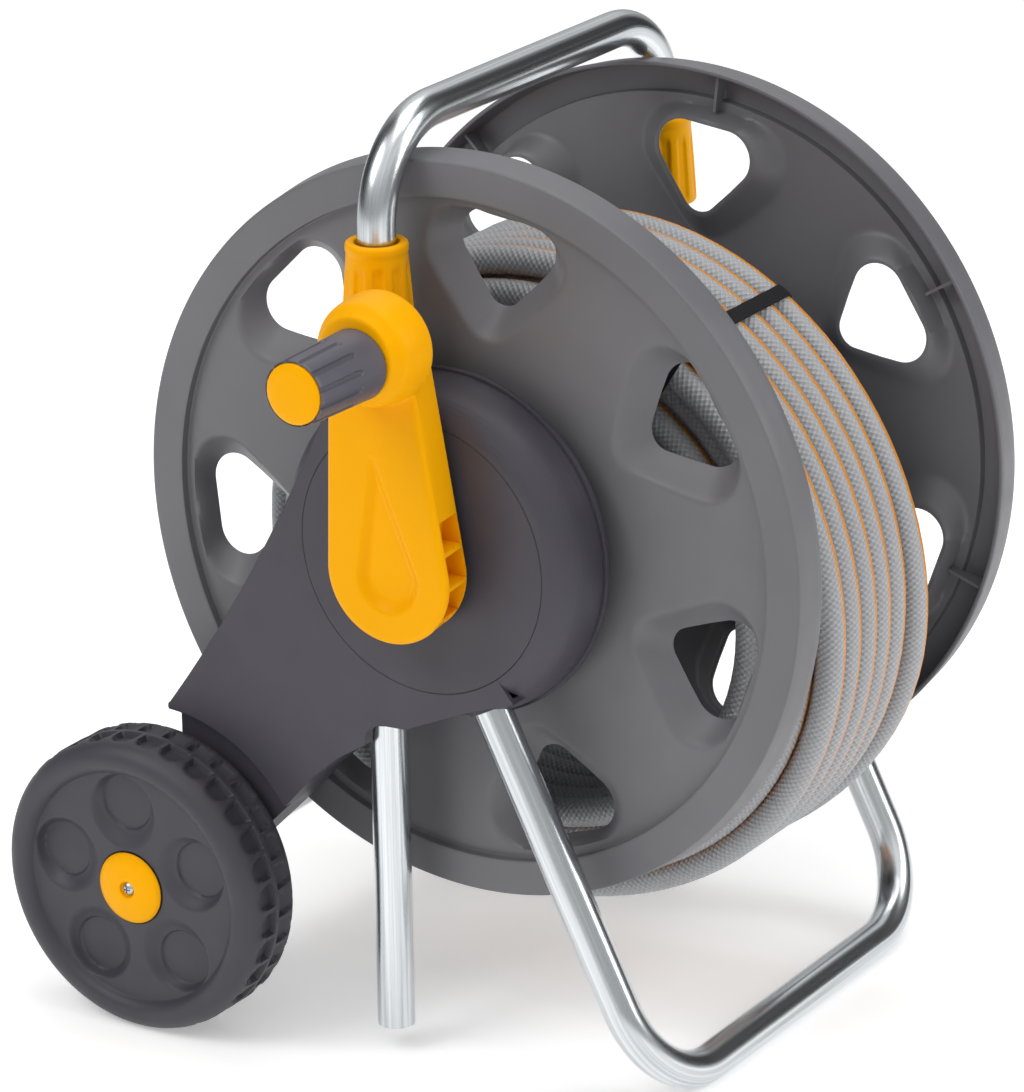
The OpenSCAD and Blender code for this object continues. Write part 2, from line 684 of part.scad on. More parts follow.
near_side_plate();
far_side_plate();
near_inner_plate();
far_inner_plate();
near_hub_cover();
far_hub_cover();
near_bush();
far_bush();
plate_screws();
foot_tube();
axle_tube();
axle_plugs();
wheel_caps();
wheel_screws();
collets();
inlet_elbow();
inlet_screws();
shaft_seal();
handle_tube();
handle_end_plugs();
near_collar();
far_collar();
near_flange();
far_flange();
drum();
water_shaft();
drum_screws();
outlet_stub();
outlet_seal();
crank_arm();
grip_pin();
crank_grip();
grip_cap();
near_wheel();
far_wheel();
hose_bundle();
hose_straps();
hose_start_connector();
hose_end_connector();
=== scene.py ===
import math

import bmesh
import bpy
import numpy as np
from mathutils import Matrix, Vector


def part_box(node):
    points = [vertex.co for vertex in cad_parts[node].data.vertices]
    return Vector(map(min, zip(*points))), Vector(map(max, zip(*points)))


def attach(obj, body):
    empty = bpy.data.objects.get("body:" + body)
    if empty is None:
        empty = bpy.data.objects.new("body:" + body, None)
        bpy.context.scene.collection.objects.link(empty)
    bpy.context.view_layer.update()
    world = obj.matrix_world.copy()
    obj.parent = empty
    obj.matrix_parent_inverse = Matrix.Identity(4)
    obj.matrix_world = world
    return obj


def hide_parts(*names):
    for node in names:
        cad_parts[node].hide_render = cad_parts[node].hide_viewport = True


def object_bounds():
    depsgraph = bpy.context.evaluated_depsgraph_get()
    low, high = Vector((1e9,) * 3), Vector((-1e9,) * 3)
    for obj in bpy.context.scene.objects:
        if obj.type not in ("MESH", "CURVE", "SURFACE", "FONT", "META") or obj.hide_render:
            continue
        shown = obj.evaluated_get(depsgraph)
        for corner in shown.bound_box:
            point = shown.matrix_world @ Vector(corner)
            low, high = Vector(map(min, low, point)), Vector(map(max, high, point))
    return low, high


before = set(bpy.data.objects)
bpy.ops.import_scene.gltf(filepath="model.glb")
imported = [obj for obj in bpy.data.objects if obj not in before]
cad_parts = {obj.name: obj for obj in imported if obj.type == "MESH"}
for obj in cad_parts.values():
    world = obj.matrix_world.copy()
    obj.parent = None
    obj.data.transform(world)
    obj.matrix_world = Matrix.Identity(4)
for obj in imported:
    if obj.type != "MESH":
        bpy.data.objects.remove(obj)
cad_lo, cad_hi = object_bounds()

# ---- places, in metres, from the CAD ----
flange_lo, flange_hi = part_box("near_flange")
AX = (flange_lo.x + flange_hi.x) / 2
AZ = (flange_lo.z + flange_hi.z) / 2
NEAR = -0.08935
MM = 0.001
REEL_W = 253.7
PI2 = 2 * math.pi


def place(p, far=False):
    """Reel-frame millimetres (axis at the origin, near flange face at y = 0) to metres in the row frame."""
    p = np.asarray(p, float)
    y = REEL_W - p[..., 1] if far else p[..., 1]
    return np.stack([AX + p[..., 0] * MM, NEAR + y * MM, AZ + p[..., 2] * MM], -1)


def smooth(t):
    t = np.clip(t, 0, 1)
    return t * t * (3 - 2 * t)


# ---- camera ----
def make_camera():
    cam = bpy.data.objects.new("camera", bpy.data.cameras.new("camera"))
    bpy.context.collection.objects.link(cam)
    cam.data.lens = 182.04
    cam.data.sensor_width = 36
    cam.data.sensor_fit = "HORIZONTAL"
    cam.data.clip_end = 100
    az, el, roll = (math.radians(a) for a in (32.88, 20.12, -0.97))
    back = Vector((math.sin(az) * math.cos(el), -math.cos(az) * math.cos(el), math.sin(el)))
    right = (-back).cross(Vector((0, 0, 1))).normalized()
    up = right.cross(-back)
    right, up = (math.cos(roll) * right + math.sin(roll) * up,
                 -math.sin(roll) * right + math.cos(roll) * up)
    turn = Matrix((right, up, back)).transposed()
    cam.matrix_world = Matrix.Translation((1.5381, -2.37785, 1.3137)) @ turn.to_4x4()
    bpy.context.scene.camera = cam


make_camera()


# ---- mesh helpers ----
def new_object(name, verts, faces, material, body, replaced=(), angle=38, uv=None):
    mesh = bpy.data.meshes.new(name)
    mesh.from_pydata([tuple(v) for v in verts], [], [tuple(f) for f in faces])
    mesh.validate()
    if uv is not None:
        layer = mesh.uv_layers.new(name="UVMap")
        flat = np.asarray(uv, float).reshape(-1, 2)
        layer.data.foreach_set("uv", flat.ravel())
    obj = bpy.data.objects.new(name, mesh)
    bpy.context.collection.objects.link(obj)
    mesh.materials.append(material)
    bm = bmesh.new()
    bm.from_mesh(mesh)
    # points at the middle of a turned end are one point, so no face there has zero area
    bmesh.ops.remove_doubles(bm, verts=bm.verts, dist=1e-7)
    bmesh.ops.recalc_face_normals(bm, faces=bm.faces)
    bm.to_mesh(mesh)
    bm.free()
    for p in mesh.polygons:
        p.use_smooth = True
    mesh.set_sharp_from_angle(angle=math.radians(angle))
    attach(obj, body)
    if replaced:
        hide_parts(*replaced)
    return obj


def grid_faces(n, m, wrap_n, wrap_m):
    """Quads over an n by m grid of points, wrapped where asked."""
    i = np.arange(n if wrap_n else n - 1)[:, None]
    j = np.arange(m if wrap_m else m - 1)[None, :]
    i1, j1 = (i + 1) % n, (j + 1) % m
    q = np.stack(np.broadcast_arrays(i * m + j, i1 * m + j, i1 * m + j1, i * m + j1), -1)
    return q.reshape(-1, 4)


def grid_uv(n, m, wrap_n, wrap_m, us, vs):
    """UVs for grid_faces: us has n (+1 if wrapped) values along, vs has m (+1 if wrapped) round."""
    a = np.arange(n if wrap_n else n - 1)[:, None]
    b = np.arange(m if wrap_m else m - 1)[None, :]
    a, b = np.broadcast_arrays(a, b)
    us, vs = np.asarray(us, float), np.asarray(vs, float)
    quad = [(us[a], vs[b]), (us[a + 1], vs[b]), (us[a + 1], vs[b + 1]), (us[a], vs[b + 1])]
    return np.stack([np.stack(q, -1) for q in quad], 2).reshape(-1, 2)


def frames_along(path):
    """Tangent, and two normals that turn as little as they can, at each point of a path."""
    t = np.gradient(path, axis=0)
    t /= np.linalg.norm(t, axis=1)[:, None]
    n = np.zeros_like(t)
    first = np.array([0, 0, 1.0]) if abs(t[0][2]) < 0.9 else np.array([1.0, 0, 0])
    n[0] = first - first.dot(t[0]) * t[0]
    n[0] /= np.linalg.norm(n[0])
    for i in range(1, len(t)):
        v = n[i - 1] - n[i - 1].dot(t[i]) * t[i]
        n[i] = v / np.linalg.norm(v)
    return t, n, np.cross(t, n)


def lengths(path):
    return np.concatenate([[0], np.cumsum(np.linalg.norm(np.diff(path, axis=0), axis=1))])


def pipe(name, path, r, wall, material, body, replaced, sides=40):
    """Open tube swept along a path in metres, with u along it and v round it."""
    t, n, b = frames_along(path)
    a = np.arange(sides) * PI2 / sides
    rows = []
    for rr, order in ((r, slice(None)), (r - wall, slice(None, None, -1))):
        ring = (np.cos(a)[None, :, None] * n[:, None] + np.sin(a)[None, :, None] * b[:, None]) * rr
        rows.append((path[:, None] + ring)[order])
    rows = np.concatenate(rows)
    s = lengths(path)
    us = np.concatenate([s, s[::-1], [0]])
    vs = np.linspace(0, 1, sides + 1)
    faces = grid_faces(len(rows), sides, True, True)
    uv = grid_uv(len(rows), sides, True, True, us, vs)
    return new_object(name, rows.reshape(-1, 3), faces, material, body, replaced, uv=uv, angle=50)


def turned(name, profile, material, body, replaced, centre, far=False, sides=96, shape=None):
    """Closed solid of (radius, along) points turned about Y, whose radius shape() may change."""
    profile = np.asarray(profile, float)
    a = np.arange(sides) * PI2 / sides
    r = np.repeat(profile[:, :1], sides, 1)
    y = np.repeat(profile[:, 1:2], sides, 1)
    if shape is not None:
        r, y = shape(r, y, a[None, :])
    pts = np.stack([centre[0] + r * np.cos(a), y, centre[1] + r * np.sin(a)], -1)
    n = len(profile)
    faces = [tuple(f) for f in grid_faces(n, sides, False, True)]
    faces += [tuple(range(sides)), tuple((n - 1) * sides + np.arange(sides))]
    return new_object(name, place(pts, far).reshape(-1, 3), faces, material, body, replaced)


# ---- materials ----
def nodes_of(name):
    mat = bpy.data.materials.new(name)
    mat.use_nodes = True
    tree = mat.node_tree
    return mat, tree, tree.nodes["Principled BSDF"], tree.links


def add(tree, kind, **values):
    node = tree.nodes.new(kind)
    for k, v in values.items():
        if hasattr(node, k):
            setattr(node, k, v)
        else:
            node.inputs[k].default_value = v
    return node


def ramp(tree, source, stops):
    node = tree.nodes.new("ShaderNodeValToRGB")
    el = node.color_ramp.elements
    while len(el) < len(stops):
        el.new(0.5)
    for e, (at, c) in zip(el, stops):
        e.position = at
        e.color = (*c, 1)
    tree.links.new(source, node.inputs["Fac"])
    return node.outputs["Color"]


def linear(hexa):
    c = [int(hexa[i:i + 2], 16) / 255 for i in (0, 2, 4)]
    return tuple(x / 12.92 if x < 0.04045 else ((x + 0.055) / 1.055) ** 2.4 for x in c)


def grey(v):
    return (v, v, v)


def plastic(name, colour, rough, grain, soft_edge=0.0, specular=0.5, mottle=0.08, tint=(1, 1, 1)):
    """Moulded plastic: faint colour and gloss variation, fine grain, and soft edges on CAD nodes."""
    mat, tree, bsdf, links = nodes_of(name)
    c = np.array(linear(colour))
    co = add(tree, "ShaderNodeTexCoord")
    big = add(tree, "ShaderNodeTexNoise", Scale=9.0, Detail=4.0, Roughness=0.55)
    links.new(co.outputs["Object"], big.inputs["Vector"])
    shades = [(0.3, tuple(c * (1 - mottle))), (0.7, tuple(c * (1 + mottle)))]
    links.new(ramp(tree, big.outputs["Fac"], shades), bsdf.inputs["Base Color"])
    gloss = add(tree, "ShaderNodeTexNoise", Scale=45.0, Detail=3.0)
    links.new(co.outputs["Object"], gloss.inputs["Vector"])
    links.new(ramp(tree, gloss.outputs["Fac"], [(0.3, grey(rough - 0.05)), (0.7, grey(rough + 0.06))]),
              bsdf.inputs["Roughness"])
    fine = add(tree, "ShaderNodeTexNoise", Scale=1400.0, Detail=2.0)
    links.new(co.outputs["Object"], fine.inputs["Vector"])
    bump = add(tree, "ShaderNodeBump", Strength=grain * 4, Distance=0.0002)
    links.new(fine.outputs["Fac"], bump.inputs["Height"])
    if soft_edge:
        bevel = add(tree, "ShaderNodeBevel", samples=4, Radius=soft_edge * MM)
        links.new(bevel.outputs["Normal"], bump.inputs["Normal"])
    links.new(bump.outputs["Normal"], bsdf.inputs["Normal"])
    bsdf.inputs["Specular IOR Level"].default_value = specular
    bsdf.inputs["Specular Tint"].default_value = (*tint, 1)
    return mat


def steel(name, soft_edge=0.0, tube=False):
    """Bright zinc-plated steel, with drawn streaks along a tube; the darker streaks in the base colour are
    partly painted dark reflections.
    """
    mat, tree, bsdf, links = nodes_of(name)
    co = add(tree, "ShaderNodeTexCoord")
    mapping = add(tree, "ShaderNodeMapping")
    mapping.inputs["Scale"].default_value = (3.0, 22.0, 1.0) if tube else (60, 60, 60)
    links.new(co.outputs["UV" if tube else "Object"], mapping.inputs["Vector"])
    streaks_and_reflection = add(tree, "ShaderNodeTexNoise", Scale=1.0, Detail=7.0, Roughness=0.62)
    links.new(mapping.outputs["Vector"], streaks_and_reflection.inputs["Vector"])
    # the base colour runs darker along the streaks: partly drawn marks, partly painted dark reflections
    links.new(ramp(tree, streaks_and_reflection.outputs["Fac"], [(0.3, (0.42, 0.45, 0.47)), (0.62, (0.74, 0.77, 0.79))]),
              bsdf.inputs["Base Color"])
    gloss = ramp(tree, streaks_and_reflection.outputs["Fac"], [(0.25, grey(0.33)), (0.7, grey(0.16))])
    links.new(gloss, bsdf.inputs["Roughness"])
    bump = add(tree, "ShaderNodeBump", Strength=0.16, Distance=0.0006)
    links.new(streaks_and_reflection.outputs["Fac"], bump.inputs["Height"])
    if soft_edge:
        bevel = add(tree, "ShaderNodeBevel", samples=4, Radius=soft_edge * MM)
        links.new(bevel.outputs["Normal"], bump.inputs["Normal"])
    links.new(bump.outputs["Normal"], bsdf.inputs["Normal"])
    bsdf.inputs["Metallic"].default_value = 1.0
    return mat


def math_node(tree, op, a, b=None, c=None):
    node = tree.nodes.new("ShaderNodeMath")
    node.operation = op
    for i, v in enumerate((a, b, c)):
        if v is None:
            continue
        if isinstance(v, (int, float)):
            node.inputs[i].default_value = v
        else:
            tree.links.new(v, node.inputs[i])
    return node.outputs[0]


def hose_material():
    """Clear outer layer over a white braid, with one coloured stripe along the hose, and painted shade in the
    hollows of the braid.
    """
    mat, tree, bsdf, links = nodes_of("braided_hose")
    co = add(tree, "ShaderNodeTexCoord")
    uv = add(tree, "ShaderNodeSeparateXYZ")
    links.new(co.outputs["UV"], uv.inputs["Vector"])
    u, v = uv.outputs["X"], uv.outputs["Y"]
    threads = []
    for turn in (1, -1):
        across = math_node(tree, "MULTIPLY", v, turn * PI2 * THREADS)
        phase = math_node(tree, "MULTIPLY_ADD", u, PI2 / THREAD_PITCH, across)
        threads.append(math_node(tree, "SINE", phase))
    braid = math_node(tree, "MAXIMUM", threads[0], threads[1])
    cross = math_node(tree, "MULTIPLY", threads[0], threads[1])
    height = math_node(tree, "MULTIPLY_ADD", cross, 0.6, braid)
    level = math_node(tree, "MULTIPLY_ADD", height, 0.3, 0.5)
    # the braid is lighter on the raised threads and darker in the hollows between them: partly weave pattern,
    # partly painted shade in the hollows
    weave_and_shade = ramp(tree, level, [(0.15, linear("98999c")), (0.6, linear("a3a4a7")), (0.97, linear("b6b7ba"))])
    away = math_node(tree, "ABSOLUTE", math_node(tree, "SUBTRACT", v, STRIPE_V))
    line = add(tree, "ShaderNodeMapRange")
    for k, val in (("From Min", STRIPE_HALF + 0.004), ("From Max", STRIPE_HALF - 0.004)):
        line.inputs[k].default_value = val
    links.new(away, line.inputs["Value"])
    mix = tree.nodes.new("ShaderNodeMix")
    mix.data_type = "RGBA"
    links.new(line.outputs["Result"], mix.inputs["Factor"])
    links.new(weave_and_shade, mix.inputs[6])
    mix.inputs[7].default_value = (*linear("dd8c00"), 1)
    links.new(mix.outputs[2], bsdf.inputs["Base Color"])
    bump = add(tree, "ShaderNodeBump", Strength=0.8, Distance=0.0005)
    links.new(height, bump.inputs["Height"])
    links.new(bump.outputs["Normal"], bsdf.inputs["Normal"])
    bsdf.inputs["Roughness"].default_value = 0.38
    bsdf.inputs["Coat Weight"].default_value = 0.15
    bsdf.inputs["Specular IOR Level"].default_value = 0.3
    bsdf.inputs["Coat Roughness"].default_value = 0.22
    bsdf.inputs["Subsurface Weight"].default_value = 0.04
    bsdf.inputs["Subsurface Radius"].default_value = (0.003, 0.003, 0.003)
    return mat


def webbing_material():
    mat, tree, bsdf, links = nodes_of("black_webbing")
    co = add(tree, "ShaderNodeTexCoord")
    uv = add(tree, "ShaderNodeSeparateXYZ")
    links.new(co.outputs["UV"], uv.inputs["Vector"])
    a = math_node(tree, "SINE", math_node(tree, "MULTIPLY_ADD", uv.outputs["X"], PI2 / 0.0022,
                                          math_node(tree, "MULTIPLY", uv.outputs["Y"], PI2 * 3)))
    b = math_node(tree, "SINE", math_node(tree, "MULTIPLY", uv.outputs["Y"], PI2 * 6))
    weave = math_node(tree, "MULTIPLY", a, b)
    level = math_node(tree, "MULTIPLY_ADD", weave, 0.5, 0.5)
    # the webbing is lighter on the raised threads and darker in the hollows of the weave: partly weave
    # pattern, partly painted shade in the hollows
    shades = [(0.1, linear("0a0a0b")), (0.9, linear("222225"))]
    links.new(ramp(tree, level, shades), bsdf.inputs["Base Color"])
    bump = add(tree, "ShaderNodeBump", Strength=0.8, Distance=0.0004)
    links.new(level, bump.inputs["Height"])
    links.new(bump.outputs["Normal"], bsdf.inputs["Normal"])
    bsdf.inputs["Roughness"].default_value = 0.8
    bsdf.inputs["Specular IOR Level"].default_value = 0.25
    return mat


STRIPE_V = 0.042      # share of the way round the hose from its outermost line
STRIPE_HALF = 0.044
THREADS = 12          # braid threads round the hose each way
THREAD_PITCH = 0.0036

YELLOW_GLOSS = (1.0, 0.72, 0.22)
M_CHARCOAL_CAD = plastic("charcoal_plastic_edges", "413f47", 0.45, 0.06, soft_edge=1.2, specular=0.4)
M_WHEEL = plastic("wheel_plastic", "3b3a41", 0.5, 0.08, specular=0.45)
M_GREY = plastic("grey_plastic", "68686c", 0.44, 0.05, specular=0.45)
M_GREY_CAD = plastic("grey_plastic_edges", "5c5c62", 0.46, 0.05, soft_edge=1.0)
M_DARK = plastic("dark_plastic", "2b2a2f", 0.5, 0.06, soft_edge=0.6)
M_YELLOW = plastic("yellow_plastic", "f3a900", 0.4, 0.03, mottle=0.03, specular=0.2, tint=YELLOW_GLOSS)
M_YELLOW_CAD = plastic("yellow_plastic_edges", "f3a900", 0.4, 0.03, soft_edge=1.0, mottle=0.03, specular=0.2,
                       tint=YELLOW_GLOSS)
M_GRIP = plastic("grip_rubber", "55535c", 0.42, 0.05)
M_BUSH = plastic("white_acetal", "d8d6cf", 0.35, 0.02, soft_edge=0.4)
M_SEAL = plastic("seal_rubber", "19191b", 0.6, 0.05)
M_TUBE = steel("plated_tube", tube=True)
M_SCREW = steel("plated_screw", soft_edge=0.3)
M_HOSE = hose_material()
M_WEB = webbing_material()


# ---- hose: four layers of six turns, as a strapped coil that hangs on the drum ----
HOSE_D = 17
DROP = 58
PITCH = 17.9
LAYER_R = (144.0, 159.5, 175.0, 190.5)
FIRST_Y = (74.1, 83.0, 74.1, 83.0)
COLUMNS = 6
START_ANGLE = 200
START_R, END_R = 147.5, 185      # where the two ends lie, beside the bundle
CROSS = 34            # half the angle over which a turn moves over to the next one
PER_TURN = 90
SIDES = 20


def hose_slots():
    """(radius, y) of each turn, from the inner end out."""
    slots = []
    for i, (r, y0) in enumerate(zip(LAYER_R, FIRST_Y)):
        cols = range(COLUMNS) if i % 2 else range(COLUMNS - 1, -1, -1)
        slots += [(r, y0 + PITCH * k) for k in cols]
    return slots


def hose_path(side_y):
    """The hose's centre line in reel-frame millimetres, and its angle round the coil's middle."""
    slots = [(START_R, side_y)] + hose_slots() + [(END_R, side_y)]
    turns = len(slots) - 2
    u = np.linspace(0, 360 * turns, PER_TURN * turns + 1)
    r = np.full_like(u, slots[0][0])
    y = np.full_like(u, slots[0][1])
    for j in range(len(slots) - 1):
        centre = 360 * j + (CROSS if j == 0 else -CROSS if j == turns else 0)
        f = smooth((u - centre + CROSS) / (2 * CROSS))
        r += f * (slots[j + 1][0] - slots[j][0])
        y += f * (slots[j + 1][1] - slots[j][1])
    angle = START_ANGLE - u
    # the turns aren't laid perfectly: they wander a little, and the last one bulges out at the front
    lift = 5.0 * np.clip((r - LAYER_R[0]) / (LAYER_R[-1] - LAYER_R[0]), 0, 1)
    away = [(angle - at + 180) % 360 - 180 for at in (95, -75, 180)]
    change = (lift * np.exp(-(away[0] / 40.0) ** 2) - 8 * np.exp(-(away[1] / 38.0) ** 2)
              - 8 * np.exp(-(away[2] / 32.0) ** 2))
    r = r + change * smooth(u / 200) * smooth((360 * turns - u) / 200)
    wander = np.sin(np.radians(u * 0.83)) * 0.5 + np.sin(np.radians(u * 1.37 + 40)) * 0.4
    y = y + wander
    last = smooth((u - 360 * (turns - 1) - CROSS) / 40)
    a = (angle + 180) % 360 - 180
    y = y + last * 15 * np.exp(-((a + 28) / 34.0) ** 2)
    y = y - smooth((u - 360 * (turns - 2) - CROSS) / 40) * (1 - last) * 1.5 * np.exp(-((a + 28) / 30.0) ** 2)
    rad = np.radians(angle)
    return np.stack([r * np.cos(rad), y, r * np.sin(rad) - DROP], -1), rad


def make_hose():
    lo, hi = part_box("hose_start_connector")
    side_y = ((lo.y + hi.y) / 2 - NEAR) / MM
    path_mm, rad = hose_path(side_y)
    path = place(path_mm)
    t, _, _ = frames_along(path)
    out = np.stack([np.cos(rad), np.zeros_like(rad), np.sin(rad)], -1)
    out -= np.sum(out * t, 1)[:, None] * t
    out /= np.linalg.norm(out, axis=1)[:, None]
    side = np.cross(t, out)
    side *= np.sign(side[:, 1])[:, None]
    a = np.arange(SIDES) * PI2 / SIDES
    ring = np.cos(a)[None, :, None] * out[:, None] + np.sin(a)[None, :, None] * side[:, None]
    ring = ring * HOSE_D / 2 * MM
    rows = path[:, None] + ring
    n = len(rows)
    s = lengths(path)
    faces = [tuple(f) for f in grid_faces(n, SIDES, False, True)]
    uv = grid_uv(n, SIDES, False, True, s, np.linspace(0, 1, SIDES + 1))
    faces += [tuple(range(SIDES)), tuple((n - 1) * SIDES + np.arange(SIDES))]
    uv = np.concatenate([uv, np.zeros((2 * SIDES, 2))])
    obj = new_object("garden_hose", rows.reshape(-1, 3), faces, M_HOSE, "hose", ["hose_bundle"],
                     uv=uv, angle=60)
    return obj, path


def make_straps():
    """Webbing loops drawn tight round the bundle."""
    half, thick, corner = 4.5, 1.3, 8.6
    r0, r1, y0, y1 = 135.4, 201.0, 65.4, 181.6
    a = []
    for cr, cy, start in ((r1 - corner, y1 - corner, 0), (r0 + corner, y1 - corner, 90),
                          (r0 + corner, y0 + corner, 180), (r1 - corner, y0 + corner, 270)):
        for i in range(9):
            b = math.radians(start + i * 90 / 8)
            a.append((cr, cy, math.cos(b), math.sin(b)))
    a = np.array(a)
    fine = []
    for p, q in zip(a, np.roll(a, -1, 0)):
        gap = math.hypot(q[0] - p[0] + corner * (q[2] - p[2]), q[1] - p[1] + corner * (q[3] - p[3]))
        steps = max(1, int(gap / 3))
        fine += [p + (q - p) * i / steps for i in range(steps)]
    a = np.array(fine)
    loops = []
    for off in (0.1, thick):
        loops.append(np.stack([a[:, 0] + (corner + off) * a[:, 2], a[:, 1] + (corner + off) * a[:, 3]], -1))
    inner, outer = loops
    # the outer face follows the strands a little
    dip = 0.5 * (1 + np.cos((outer[:, 1] - 83.0) * PI2 / PITCH))
    on_top = (a[:, 2] > 0.9) * dip
    outer[:, 0] += on_top * 0.5
    s = lengths(np.concatenate([outer, outer[:1]])) * MM
    made = []
    for k, angle in enumerate((58, 145, 235)):
        t = math.radians(angle)
        e_r = np.array([math.cos(t), 0, math.sin(t)])
        e_t = np.array([-math.sin(t), 0, math.cos(t)])
        rings = []
        for loop, w in ((inner, -half), (outer, -half), (outer, -half * 0.5), (outer, half * 0.5),
                        (outer, half), (inner, half)):
            bulge = 0.35 if abs(w) < half and loop is outer else 0
            p = loop[:, :1] * e_r + w * e_t + np.stack([0 * loop[:, 1], loop[:, 1], 0 * loop[:, 1]], -1)
            rings.append(p + bulge * e_r * (a[:, 2:3] > 0.9))
        rows = np.stack(rings, 1)
        rows[..., 2] -= DROP
        n, m = rows.shape[:2]
        vs = [0, 0.1, 0.35, 0.65, 0.9, 1.0, 1.1]
        uv = grid_uv(n, m, True, True, s, vs)
        made.append(new_object(f"bundle_strap_{k + 1}", place(rows).reshape(-1, 3),
                               grid_faces(n, m, True, True), M_WEB, "hose", ["hose_straps"], uv=uv, angle=50))
    return made


hose, hose_points = make_hose()
straps = make_straps()


# ---- tubes ----
def bent(points, radius, step=4.0):
    """A path through corner points with rounded bends, in millimetres."""
    pts = [np.asarray(p, float) for p in points]
    out = [pts[0]]
    for a, b, c in zip(pts, pts[1:], pts[2:]):
        u, v = (a - b) / np.linalg.norm(a - b), (c - b) / np.linalg.norm(c - b)
        half = math.acos(np.clip(u.dot(v), -1, 1)) / 2
        back = radius / math.tan(half)
        centre = b + (u + v) / np.linalg.norm(u + v) * radius / math.sin(half)
        p, q = b + u * back - centre, b + v * back - centre
        total = math.pi - 2 * half
        n = max(6, int(total * radius / step))
        for i in range(n + 1):
            f = i / n
            out.append(centre + (math.sin((1 - f) * total) * p + math.sin(f * total) * q) / math.sin(total))
    out.append(pts[-1])
    fine = [out[0]]
    for p, q in zip(out, out[1:]):
        n = max(1, int(np.linalg.norm(q - p) / 12))
        fine += [p + (q - p) * (i + 1) / n for i in range(n)]
    return np.array(fine)


TUBE_R = 11
BEND = 56


def make_tubes():
    lo, hi = (np.array(v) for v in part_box("handle_tube"))
    near_y = (lo[1] - NEAR) / MM + TUBE_R
    far_y = (hi[1] - NEAR) / MM - TUBE_R
    x = ((lo[0] + hi[0]) / 2 - AX) / MM
    top, low = (hi[2] - AZ) / MM - TUBE_R, (lo[2] - AZ) / MM
    path = bent([(x, near_y, low), (x, near_y, top), (x, far_y, top), (x, far_y, low)], BEND)
    pipe("tube_handle", place(path), TUBE_R * MM, 1.5 * MM, M_TUBE, "handle", ["handle_tube"])
    lo, hi = (np.array(v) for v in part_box("foot_tube"))
    near_y = (lo[1] - NEAR) / MM + TUBE_R
    far_y = (hi[1] - NEAR) / MM - TUBE_R
    bar_x, bar_z = (hi[0] - AX) / MM - TUBE_R, (lo[2] - AZ) / MM + TUBE_R
    in_x, in_z = 13.2, -46.5
    path = bent([(in_x, near_y, in_z), (bar_x, near_y, bar_z), (bar_x, far_y, bar_z), (in_x, far_y, in_z)],
                BEND)
    pipe("tube_foot", place(path), TUBE_R * MM, 1.5 * MM, M_TUBE, "frame", ["foot_tube"])
    lo, hi = (np.array(v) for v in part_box("axle_tube"))
    mid = (lo + hi) / 2
    path = np.stack([np.array([mid[0], y, mid[2]]) for y in np.linspace(lo[1], hi[1], 40)])
    pipe("tube_axle", path, TUBE_R * MM, 1.5 * MM, M_TUBE, "frame", ["axle_tube"])


make_tubes()

# ---- flanges ----
WINDOWS = 7
FIRST_WINDOW = 83.2
# outlines of a window and of its raised surround: apex centre, apex radius, corner centre, half pitch, radius
OPENING = (145.1, 12.1, 170, 14.5, 16.5)
SURROUND = (132, 18, 165.6, 23.6, 24.4)
WEB_OUT, WEB_IN, DEPTH = 5.5, 8.1, 21.0
DIR = np.arange(144) * PI2 / 144
DIRS = np.stack([np.cos(DIR), np.sin(DIR)], -1)


def support(w):
    centres = np.array([[w[0], 0], [w[2], w[3]], [w[2], -w[3]]])
    return (DIRS @ centres.T + np.array([w[1], w[4], w[4]])).max(1)


def outside(p, w):
    """Distance of points outside a window outline, negative inside, and the way out."""
    d = p @ DIRS.T - support(w)
    return d.max(-1), DIRS[d.argmax(-1)]


def eased(s):
    """0 to 1 with a soft start, for a wall that leaves a face with a round edge."""
    k = 0.24
    return np.where(s < k, s * s / (2 * k), s - k / 2) / (1 - k / 2)


def box_mesh(x0, x1, y0, y1, z0, z1):
    v = np.array([(x, y, z) for x in (x0, x1) for y in (y0, y1) for z in (z0, z1)], float)
    f = [(0, 1, 3, 2), (4, 6, 7, 5), (0, 4, 5, 1), (2, 3, 7, 6), (0, 2, 6, 4), (1, 5, 7, 3)]
    return v, f


def about_y(v, degrees):
    a = math.radians(degrees)
    x = v[..., 0] * math.cos(a) - v[..., 2] * math.sin(a)
    z = v[..., 0] * math.sin(a) + v[..., 2] * math.cos(a)
    return np.stack([x, v[..., 1], z], -1)


